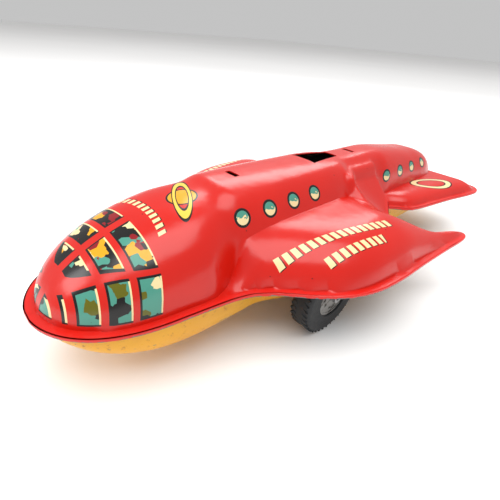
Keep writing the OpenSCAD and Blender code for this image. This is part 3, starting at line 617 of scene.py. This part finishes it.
def wingPrint(tree, base, x, side):
    # two rows of slanted speed dashes on each front wing and an oval on each rear wing
    for start, turn, length, pitch, height in (((50.0, 30.9), 166.6, 47.8, 3.1, 1.55),
                                               ((37.3, 41.1), 169.6, 25.0, 3.1, 1.5)):
        for shift, name in ((0.3, "ink"), (0.0, "cream")):
            spot = addNode(tree, "ShaderNodeCombineXYZ", {0: x, 1: side})
            line = addNode(tree, "ShaderNodeMapping", {
                0: spot, "Location": (start[0] - shift, start[1] + shift, 0.0),
                "Rotation": (0.0, 0.0, math.radians(turn))}, vector_type="TEXTURE")
            parts = addNode(tree, "ShaderNodeSeparateXYZ", {0: line})
            along, across = parts.outputs[0], parts.outputs[1]
            leaning = addNode(tree, "ShaderNodeMath", {0: across, 1: 0.35, 2: along},
                              operation="MULTIPLY_ADD")
            dash = addNode(tree, "ShaderNodeMath", {0: leaning, 1: pitch / 2, 2: -pitch / 2},
                           operation="WRAP")
            dash = addNode(tree, "ShaderNodeMath", {0: dash}, operation="ABSOLUTE")
            wide = addNode(tree, "ShaderNodeMath", {0: dash, 1: pitch * 0.33}, operation="LESS_THAN")
            off = addNode(tree, "ShaderNodeMath", {0: across}, operation="ABSOLUTE")
            tall = addNode(tree, "ShaderNodeMath", {0: off, 1: height}, operation="LESS_THAN")
            begun = addNode(tree, "ShaderNodeMath", {0: along, 1: -pitch / 2}, operation="GREATER_THAN")
            ended = addNode(tree, "ShaderNodeMath", {0: along, 1: length}, operation="LESS_THAN")
            mark = addNode(tree, "ShaderNodeMath", {0: wide, 1: tall}, operation="MULTIPLY")
            mark = addNode(tree, "ShaderNodeMath", {0: mark, 1: begun}, operation="MULTIPLY")
            mark = addNode(tree, "ShaderNodeMath", {0: mark, 1: ended}, operation="MULTIPLY")
            base = mixColours(tree, mark, base, colour(printColours[name]))
    spot = addNode(tree, "ShaderNodeCombineXYZ", {0: x, 1: side})
    oval = addNode(tree, "ShaderNodeMapping", {0: spot, "Location": (-81.0, 24.6, 0.0),
                                               "Rotation": (0.0, 0.0, math.radians(155)),
                                               "Scale": (13.2, 5.8, 1.0)}, vector_type="TEXTURE")
    size = addNode(tree, "ShaderNodeVectorMath", {0: oval}, operation="LENGTH").outputs["Value"]
    gap = addNode(tree, "ShaderNodeMath", {0: size, 1: 0.86}, operation="SUBTRACT")
    gap = addNode(tree, "ShaderNodeMath", {0: gap}, operation="ABSOLUTE")
    for width, name in ((0.2, "ink"), (0.13, "cream")):
        band = addNode(tree, "ShaderNodeMath", {0: gap, 1: width}, operation="LESS_THAN")
        base = mixColours(tree, band, base, colour(printColours[name]))
    return base


def insideTin():  # bare tinplate, dulled inside the shell: grey, low gloss, brown specks
    material, tree, shader = newMaterial("dullTinplateInside")
    coords = addNode(tree, "ShaderNodeTexCoord")
    blotch = addNode(tree, "ShaderNodeTexNoise", {"Vector": coords.outputs["Object"], "Scale": 120.0,
                                                  "Detail": 5.0})
    tone = mixColours(tree, blotch.outputs[0], colour("#241C18"), colour("#4A4440"))
    tree.links.new(tone, shader.inputs["Base Color"])
    shader.inputs["Metallic"].default_value = 0.6
    shader.inputs["Roughness"].default_value = 0.55
    return material


redTin = printedTin("redLithographedTin", True)
darkTin = insideTin()
shell = redShell()
tools = [cutter("hatchTool", hatchOutline(), 38, 60)]
for key in ("frontSlot", "rearSlot"):
    tools.append(cutter(key + "Tool", roundedRectangle(openings[key], 0, openings["slotLength"],
                                                       openings["slotWidth"], 0.35), 38, 60))
shell = cutOut(shell, tools)
finishPiece(shell, [redTin, darkTin], "body", 40)
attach(shell, "body")
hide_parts("upper_shell")
print("red body pressed,", len(shell.data.polygons), "faces")


# ---- the yellow belly ----
# The same printed tin in plain yellow, with dirt in the low parts and light scuffs along the keel.
def yellowTin():
    material, tree, shader = newMaterial("yellowLithographedTin")
    millimetres = inMillimetres(tree)
    cloud = addNode(tree, "ShaderNodeTexNoise", {"Vector": millimetres, "Scale": 0.06, "Detail": 5.0})
    base = mixColours(tree, cloud.outputs[0], colour("#DE9408"), colour("#F0B414"))
    grit = addNode(tree, "ShaderNodeTexNoise", {"Vector": millimetres, "Scale": 0.5, "Detail": 7.0,
                                                "Roughness": 0.7}).outputs[0]
    stain = addNode(tree, "ShaderNodeMapRange", {"Value": grit, "From Min": 0.58, "From Max": 0.72})
    base = mixColours(tree, stain, base, colour("#A05C06"))
    stretched = addNode(tree, "ShaderNodeMapping", {0: millimetres, "Scale": (0.05, 1.6, 1.6)})
    scratch = addNode(tree, "ShaderNodeTexNoise", {"Vector": stretched, "Scale": 1.0, "Detail": 3.0})
    scratch = addNode(tree, "ShaderNodeMath", {0: scratch, 1: 0.71}, operation="GREATER_THAN")
    base = mixColours(tree, scratch, base, colour("#8C7A5A"))
    tree.links.new(base, shader.inputs["Base Color"])
    waves = addNode(tree, "ShaderNodeTexNoise", {"Vector": millimetres, "Scale": 0.1, "Detail": 2.0})
    soft = addNode(tree, "ShaderNodeBump", {"Height": waves.outputs[0], "Distance": 0.0004, "Strength": 0.6})
    tree.links.new(soft.outputs[0], shader.inputs["Normal"])
    gloss = addNode(tree, "ShaderNodeMapRange", {"Value": grit, "To Min": 0.2, "To Max": 0.42})
    tree.links.new(gloss.outputs[0], shader.inputs["Roughness"])
    shader.inputs["IOR"].default_value = 1.5
    return material


def bellyEdge(x):
    inset = tin + bodySizes["bellyGap"]
    keel = bodySizes["wingKeel"]
    length = bodySizes["noseLength"]
    nose = ((halfNose - inset) * roundOff((x - noseX + length) / (length - inset), 4, 0.53)
            + keel * (1 - smooth(wingX - 33, wingX - 15, x)))
    waist = mix(halfNose - 5.3 - inset, halfNose + keel - inset, smooth(notchX + 5, notchX + 18, x))
    rear = mix(bodySizes["rearWidth"] / 2 + 6.5, waist, smooth(notchX - 20, notchX - 10, x))
    reach = bodySizes["bellyTailRound"]
    tail = roundOff((tailX + reach - x) / (reach - inset), 4, 0.5)
    return np.minimum(nose, rear * tail)


def bellyDepth(x, y, g):
    lip = bodySizes["bellyLip"] + g
    nose = roundOff((x - noseX + bodySizes["bellyNose"]) / (bodySizes["bellyNose"] - lip), 2.3, 0.66)
    tail = roundOff((tailX + bodySizes["bellyTail"] - x) / (bodySizes["bellyTail"] - lip), 2.4, 0.6)
    half = np.maximum(0.01, bellyEdge(x) - bodySizes["flange"] - g)
    side = roundOff(1 - (half - np.abs(y)) / np.minimum(bodySizes["bellyWall"], half * 0.6), 3.5, 0.45)
    return bodySizes["bellyDrop"] * np.minimum(np.minimum(nose, 1.1 * tail), 1) * side


def yellowBelly():
    inset = tin + bodySizes["bellyGap"]
    stations = [noseRow(math.radians(6 + 55 * i / 24))[0] - inset for i in range(25)]
    stations += [mix(noseX - 24, tailX + 27, i / 110) for i in range(111)]
    stations += [tailX + inset + bodySizes["bellyTailRound"] * (1 - math.sqrt(math.cos(math.radians(a))))
                 for a in range(62, 9, -3)]
    flatColumns, wallColumns = 10, 16
    rows = []
    for x in stations:
        edge = float(bellyEdge(x))
        b = edge - min(bodySizes["flange"], edge * 0.4)
        w = min(bodySizes["bellyWall"], b * 0.6)
        ys = [(b - w - 0.8) * j / flatColumns for j in range(flatColumns + 1)]
        ys += [b - w * (1 - math.sin(math.pi / 2 * j / wallColumns)) for j in range(wallColumns + 1)]
        ys += [mix(b, edge, 0.5), edge]
        rows.append([(x, y) for y in ys])
    plan = bothSides(np.array(rows))
    n, m = plan.shape[:2]
    x, y = plan[..., 0], plan[..., 1]
    points = []
    for z0, g in ((seam - tin, tin), (seam - 2 * tin, 0.0)):
        points += np.stack([x, y, z0 - bellyDepth(x, y, g)], -1).reshape(-1, 3).tolist()
    faces = stripFaces(n, m, 0, True) + stripFaces(n, m, n * m, False)
    order = borderOrder(n, m)
    faces += [quad[::-1] for quad in bandFaces(order, [k + n * m for k in order])]
    mesh = bpy.data.meshes.new("yellowTinBelly")
    mesh.from_pydata([tuple(c * mm for c in p) for p in points], [], faces)
    inside = [1] * ((n - 1) * (m - 1)) + [0] * (len(faces) - (n - 1) * (m - 1))
    mesh.polygons.foreach_set("material_index", inside)
    mesh.materials.append(goldTin)
    mesh.materials.append(darkTin)
    mesh.update()
    return bpy.data.objects.new("yellowTinBelly", mesh)


tyreRadius = 16.0
wheelBack = 26.3
wheel = {"x": wingX - wheelBack - math.sqrt(tyreRadius ** 2 - (seam - tyreRadius) ** 2), "z": tyreRadius,
         "track": 84.0, "tyreWidth": 8.0, "radius": tyreRadius,
         "disc": 8.3, "recess": 0.9, "drum": 7.0, "lugs": 40}

goldTin = yellowTin()
belly = yellowBelly()
gearModule, gearReach, gearRoom = 0.7, 10.8, 1.2
gearHalf = gearReach * gearModule + gearRoom
slotHalf = 11.6
axleHoleHalf = 1.95
corners = ((1, 1), (-1, 1), (-1, -1), (1, -1))
belly = cutOut(belly, [
    cutter("gearTool", [(wheel["x"] + sx * gearHalf, sy * slotHalf) for sx, sy in corners], 10, 17),
    cutter("axleTool", [(wheel["x"] + sx * axleHoleHalf, sy * 34) for sx, sy in corners], 14.0, 17.9),
])
finishPiece(belly, [goldTin, darkTin], "body", 40)
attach(belly, "body")
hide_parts("lower_shell")
print("yellow belly pressed,", len(belly.data.polygons), "faces")


# ---- tyres ----
# Moulded rubber: blue-black, low sheen, grey dust in the tread and faint mould rings on the wall.
def mouldedRubber(name, middle):
    material, tree, shader = newMaterial(name)
    millimetres = inMillimetres(tree)
    centred = addNode(tree, "ShaderNodeMapping", {0: millimetres, "Location": tuple(-c for c in middle)})
    flat = addNode(tree, "ShaderNodeVectorMath", {0: centred, 1: (1.0, 0.0, 1.0)}, operation="MULTIPLY")
    radius = addNode(tree, "ShaderNodeVectorMath", {0: flat}, operation="LENGTH").outputs["Value"]
    grit = addNode(tree, "ShaderNodeTexNoise", {"Vector": millimetres, "Scale": 0.6, "Detail": 7.0,
                                                "Roughness": 0.7}).outputs[0]
    dusty = addNode(tree, "ShaderNodeMapRange", {"Value": grit, "From Min": 0.45, "From Max": 0.75})
    tone = mixColours(tree, dusty, colour("#020509"), colour("#0D1117"))
    tree.links.new(tone, shader.inputs["Base Color"])
    rough = addNode(tree, "ShaderNodeMapRange", {"Value": grit, "To Min": 0.42, "To Max": 0.75})
    tree.links.new(rough.outputs[0], shader.inputs["Roughness"])
    rings = addNode(tree, "ShaderNodeMath", {0: radius, 1: 5.2}, operation="MULTIPLY")
    rings = addNode(tree, "ShaderNodeMath", {0: rings}, operation="SINE")
    height = addNode(tree, "ShaderNodeMath", {0: rings, 1: 0.12, 2: grit}, operation="MULTIPLY_ADD")
    bump = addNode(tree, "ShaderNodeBump", {"Height": height, "Distance": 0.00012, "Strength": 0.6})
    tree.links.new(bump.outputs[0], shader.inputs["Normal"])
    shader.inputs["IOR"].default_value = 1.52
    return material


def turnedMesh(name, profile, centre, side, steps=96):  # profile of radius and distance outwards, closed
    count = len(profile)
    points = []
    for k in range(steps):
        turn = 2 * math.pi * k / steps
        for r, out in profile:
            points.append(((centre[0] + r * math.cos(turn)) * mm, (centre[1] + side * out) * mm,
                           (centre[2] + r * math.sin(turn)) * mm))
    faces = []
    for k in range(steps):
        for j in range(count):
            a, b = k * count + j, k * count + (j + 1) % count
            c, d = ((k + 1) % steps) * count + j, ((k + 1) % steps) * count + (j + 1) % count
            faces.append([a, c, d, b] if side > 0 else [a, b, d, c])
    mesh = bpy.data.meshes.new(name)
    mesh.from_pydata(points, [], faces)
    mesh.update()
    return mesh


def lugTree(material):  # Geometry Nodes: two rows of tread lugs round the shoulders of a tyre
    tree = bpy.data.node_groups.new("treadLugs", "GeometryNodeTree")
    ports = tree.interface
    ports.new_socket("Tyre", in_out="INPUT", socket_type="NodeSocketGeometry")
    wanted = (("Lug Count", "NodeSocketInt"), ("Lug Radius", "NodeSocketFloat"),
              ("Row Offset", "NodeSocketFloat"), ("Lug Size", "NodeSocketVector"),
              ("Wheel Centre", "NodeSocketVector"))
    sockets = {name: ports.new_socket(name, in_out="INPUT", socket_type=kind) for name, kind in wanted}
    ports.new_socket("Geometry", in_out="OUTPUT", socket_type="NodeSocketGeometry")
    source = addNode(tree, "NodeGroupInput")
    lug = addNode(tree, "GeometryNodeMeshCube", {"Size": source.outputs["Lug Size"], "Vertices X": 2,
                                                 "Vertices Y": 3, "Vertices Z": 2})
    joined = addNode(tree, "GeometryNodeJoinGeometry")
    tree.links.new(source.outputs["Tyre"], joined.inputs[0])
    for side in (-1, 1):
        ring = addNode(tree, "GeometryNodeMeshCircle", {"Vertices": source.outputs["Lug Count"],
                                                        "Radius": source.outputs["Lug Radius"]})
        index = addNode(tree, "GeometryNodeInputIndex")
        count = addNode(tree, "ShaderNodeMath", {0: 2 * math.pi, 1: source.outputs["Lug Count"]},
                        operation="DIVIDE")
        place = addNode(tree, "ShaderNodeMath", {0: index, 1: count}, operation="MULTIPLY")
        lean = addNode(tree, "ShaderNodeCombineXYZ", {"X": side * math.radians(34), "Z": place})
        lugs = addNode(tree, "GeometryNodeInstanceOnPoints", {"Points": ring.outputs["Mesh"],
                                                              "Instance": lug.outputs["Mesh"]})
        euler = addNode(tree, "FunctionNodeEulerToRotation", {0: lean})
        tree.links.new(euler.outputs[0], lugs.inputs["Rotation"])
        up = addNode(tree, "ShaderNodeMath", {0: source.outputs["Row Offset"], 1: side}, operation="MULTIPLY")
        half = addNode(tree, "ShaderNodeMath", {0: count, 1: 0.5 if side > 0 else 0.0}, operation="MULTIPLY")
        row = addNode(tree, "GeometryNodeTransform", {
            "Geometry": lugs.outputs[0], "Translation": addNode(tree, "ShaderNodeCombineXYZ", {"Z": up}),
            "Rotation": addNode(tree, "ShaderNodeCombineXYZ", {"Z": half})})
        upright = addNode(tree, "GeometryNodeTransform", {
            "Geometry": row, "Translation": source.outputs["Wheel Centre"],
            "Rotation": (math.pi / 2, 0.0, 0.0)})
        tree.links.new(upright.outputs[0], joined.inputs[0])
    real = addNode(tree, "GeometryNodeRealizeInstances", {"Geometry": joined})
    painted = addNode(tree, "GeometryNodeSetMaterial", {"Geometry": real, "Material": material})
    addNode(tree, "NodeGroupOutput", {0: painted})
    return tree, sockets


def tyreProfile():
    w = wheel["tyreWidth"] / 2
    r = wheel["radius"] - 0.4
    seat = w - wheel["recess"] - 0.4
    points = [(wheel["drum"], -seat), (wheel["disc"], -seat), (wheel["disc"], -w + 0.35),
              (wheel["disc"] + 0.35, -w)]
    bulge = [(0.25, 0.06), (0.5, 0.14), (0.72, 0.3)]
    points += [(mix(wheel["disc"], r, t), -w + 0.1 * out) for t, out in bulge]
    shoulder = 2.3
    points += [(r - shoulder + shoulder * math.sin(a), -w + shoulder - shoulder * math.cos(a))
               for a in (math.radians(v) for v in range(15, 91, 15))]
    points += [(r - 0.12, -0.5), (r - 0.12, 0.5)]
    return points + [(a, -b) for a, b in points[-3::-1]]


def buildTyre(sideName, side):
    centre = (wheel["x"], side * (wheel["track"] - wheel["tyreWidth"]) / 2, wheel["z"])
    material = mouldedRubber(sideName + "MouldedRubber", centre)
    tree, sockets = lugTree(material)
    turned = turnedMesh(sideName + "Tyre", tyreProfile(), centre, side)
    piece = bpy.data.objects.new(sideName + "RubberTyre", turned)
    bpy.context.scene.collection.objects.link(piece)
    lugs = piece.modifiers.new("lugs", "NODES")
    lugs.node_group = tree
    sizes = {"Lug Count": wheel["lugs"], "Lug Radius": (wheel["radius"] - 0.7) * mm, "Row Offset": 2.3 * mm,
             "Lug Size": (0.7 * mm, 1.1 * mm, 2.4 * mm), "Wheel Centre": tuple(c * mm for c in centre)}
    for name, value in sizes.items():
        lugs[sockets[name].identifier] = value
    bake(piece, piece.name)
    finishPiece(piece, [material], "front_wheels", 35)
    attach(piece, "front_wheels")
    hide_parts(sideName + "_tyre")


buildTyre("left", 1)
buildTyre("right", -1)
print("tyres moulded")


# ---- metal parts that keep their drawn shape ----
def workedMetal(name, dark, light, metallic, rough, grainScale, grain, rustHex="#4A2C18", rustAt=0.66):
    # dark and light are the two tones of the metal, grain stretches the marks along one axis
    material, tree, shader = newMaterial(name)
    millimetres = inMillimetres(tree)
    stretched = addNode(tree, "ShaderNodeMapping", {0: millimetres, "Scale": grain})
    marks = addNode(tree, "ShaderNodeTexNoise", {"Vector": stretched, "Scale": grainScale, "Detail": 6.0,
                                                 "Roughness": 0.65}).outputs[0]
    tone = mixColours(tree, marks, colour(dark), colour(light))
    blotch = addNode(tree, "ShaderNodeTexNoise", {"Vector": millimetres, "Scale": 0.4, "Detail": 6.0})
    spots = addNode(tree, "ShaderNodeMapRange", {"Value": blotch, "From Min": rustAt - 0.08,
                                                 "From Max": rustAt + 0.04})
    tone = mixColours(tree, spots, tone, colour(rustHex))
    tree.links.new(tone, shader.inputs["Base Color"])
    worn = addNode(tree, "ShaderNodeMapRange", {"Value": marks, "To Min": rough[0], "To Max": rough[1]})
    dull = addNode(tree, "ShaderNodeMath", {0: spots, 1: 0.3, 2: worn}, operation="MULTIPLY_ADD")
    tree.links.new(dull.outputs[0], shader.inputs["Roughness"])
    bump = addNode(tree, "ShaderNodeBump", {"Height": marks, "Distance": 0.00003, "Strength": 0.5})
    tree.links.new(bump.outputs[0], shader.inputs["Normal"])
    shader.inputs["Metallic"].default_value = metallic
    return material


metals = {
    # pressed tinplate hubs, scuffed grey with rubbed bright rims
    "hub_tin": workedMetal("scuffedTinplate", "#6C6A68", "#B4B2AE", 0.8, (0.35, 0.6), 0.8, (1, 1, 1),
                           "#3C342E", 0.6),
    # cold drawn wire: fine lines along the shaft, clean grey
    "axle_steel": workedMetal("drawnSteelWire", "#8E8E90", "#C6C6C8", 1.0, (0.2, 0.42), 1.5, (1, 0.15, 1)),
    # cold rolled strip: faint rolling marks, a little rust
    "frame_steel": workedMetal("coldRolledStrip", "#7E7E80", "#B4B4B4", 1.0, (0.3, 0.55), 1.2, (0.2, 1, 1)),
    # turned and stamped brass, gone brown in the corners
    "brass": workedMetal("tarnishedBrass", "#8A6A30", "#C8A45A", 1.0, (0.25, 0.5), 1.0, (1, 1, 1),
                         "#4A3418", 0.6),
    # stamped steel gears with oily faces
    "gear_steel": workedMetal("stampedSteel", "#6C6C6E", "#A2A2A2", 1.0, (0.28, 0.5), 1.2, (1, 1, 1)),
    # turned cast iron: dark grey, matt
    "flywheel_iron": workedMetal("turnedCastIron", "#3A3B3E", "#5E6064", 0.9, (0.4, 0.65), 1.4, (1, 0.3, 1)),
}
tailRubber = mouldedRubber("tailMouldedRubber", (-79.0, 0.0, 5.0))
slotOf = {part["node"]: part["material_slot"] for part in frame["record"]["subparts"]}
for name, node in frame["nodes"].items():
    if node.hide_render:
        continue
    finish = metals.get(slotOf[name], tailRubber)
    node.data.materials.clear()
    node.data.materials.append(finish)
print("metal parts finished")


# ---- floor, light and camera ----
def floorSheet():
    material, tree, shader = newMaterial("paleFloor")
    coords = addNode(tree, "ShaderNodeTexCoord")
    haze = addNode(tree, "ShaderNodeTexNoise", {"Vector": coords.outputs["Object"], "Scale": 3.0})
    tone = mixColours(tree, haze.outputs[0], colour("#F4F3F2"), colour("#FAF9F8"))
    tree.links.new(tone, shader.inputs["Base Color"])
    shader.inputs["Roughness"].default_value = 0.85
    mesh = bpy.data.meshes.new("floorSheet")
    mesh.from_pydata([(-6, -6, 0), (6, -6, 0), (6, 6, 0), (-6, 6, 0)], [], [[0, 1, 2, 3]])
    mesh.materials.append(material)
    floor = bpy.data.objects.new("floorSheet", mesh)
    bpy.context.scene.collection.objects.link(floor)


def softBox(name, place, aim, size, power, tint="#FFFFFF"):
    light = bpy.data.lights.new(name, "AREA")
    light.shape = "RECTANGLE"
    light.size, light.size_y = size
    light.energy = power
    light.color = colour(tint)[:3]
    lamp = bpy.data.objects.new(name, light)
    lamp.location = place
    lamp.rotation_euler = (Vector(aim) - Vector(place)).to_track_quat("-Z", "Y").to_euler()
    bpy.context.scene.collection.objects.link(lamp)


def studio():
    bpy.context.scene.view_settings.view_transform = "Standard"  # print inks keep their full colour
    world = bpy.data.worlds.new("studioWhite")
    bpy.context.scene.world = world
    world.use_nodes = True
    world.node_tree.nodes["Background"].inputs["Color"].default_value = (1.0, 1.0, 1.0, 1.0)
    world.node_tree.nodes["Background"].inputs["Strength"].default_value = 0.55
    softBox("overheadBox", (0.2, 0.3, 2.0), (0, 0, 0.02), (2.4, 1.8), 42.0)
    softBox("leftBox", (0.6, -0.35, 0.45), (0.03, 0, 0.03), (0.4, 0.3), 1.6)
    softBox("backBox", (-0.45, -0.35, 0.5), (0, 0, 0.03), (0.6, 0.3), 2.4)


def mainCamera():
    cameraSettings = {"place": (0.1204, 0.08785, 0.0933), "heading": 45.03, "down": 31.82, "roll": 4.84,
                      "lens": 24.82, "shiftY": -0.005}
    data = bpy.data.cameras.new("mainCamera")
    data.lens = cameraSettings["lens"]
    data.sensor_width = 36
    data.shift_y = cameraSettings["shiftY"]
    data.clip_start = 0.005
    camera = bpy.data.objects.new("mainCamera", data)
    heading, down, roll = (math.radians(cameraSettings[k]) for k in ("heading", "down", "roll"))
    look = Vector((-math.cos(heading) * math.cos(down), -math.sin(heading) * math.cos(down), -math.sin(down)))
    level = look.cross(Vector((0, 0, 1))).normalized()
    up = level.cross(look)
    right = level * math.cos(roll) + up * math.sin(roll)
    up = up * math.cos(roll) - level * math.sin(roll)
    turn = Matrix((right, up, -look)).transposed()
    camera.matrix_world = Matrix.Translation(cameraSettings["place"]) @ turn.to_4x4()
    bpy.context.scene.collection.objects.link(camera)
    bpy.context.scene.camera = camera


floorSheet()
studio()
mainCamera()
print("stage set")
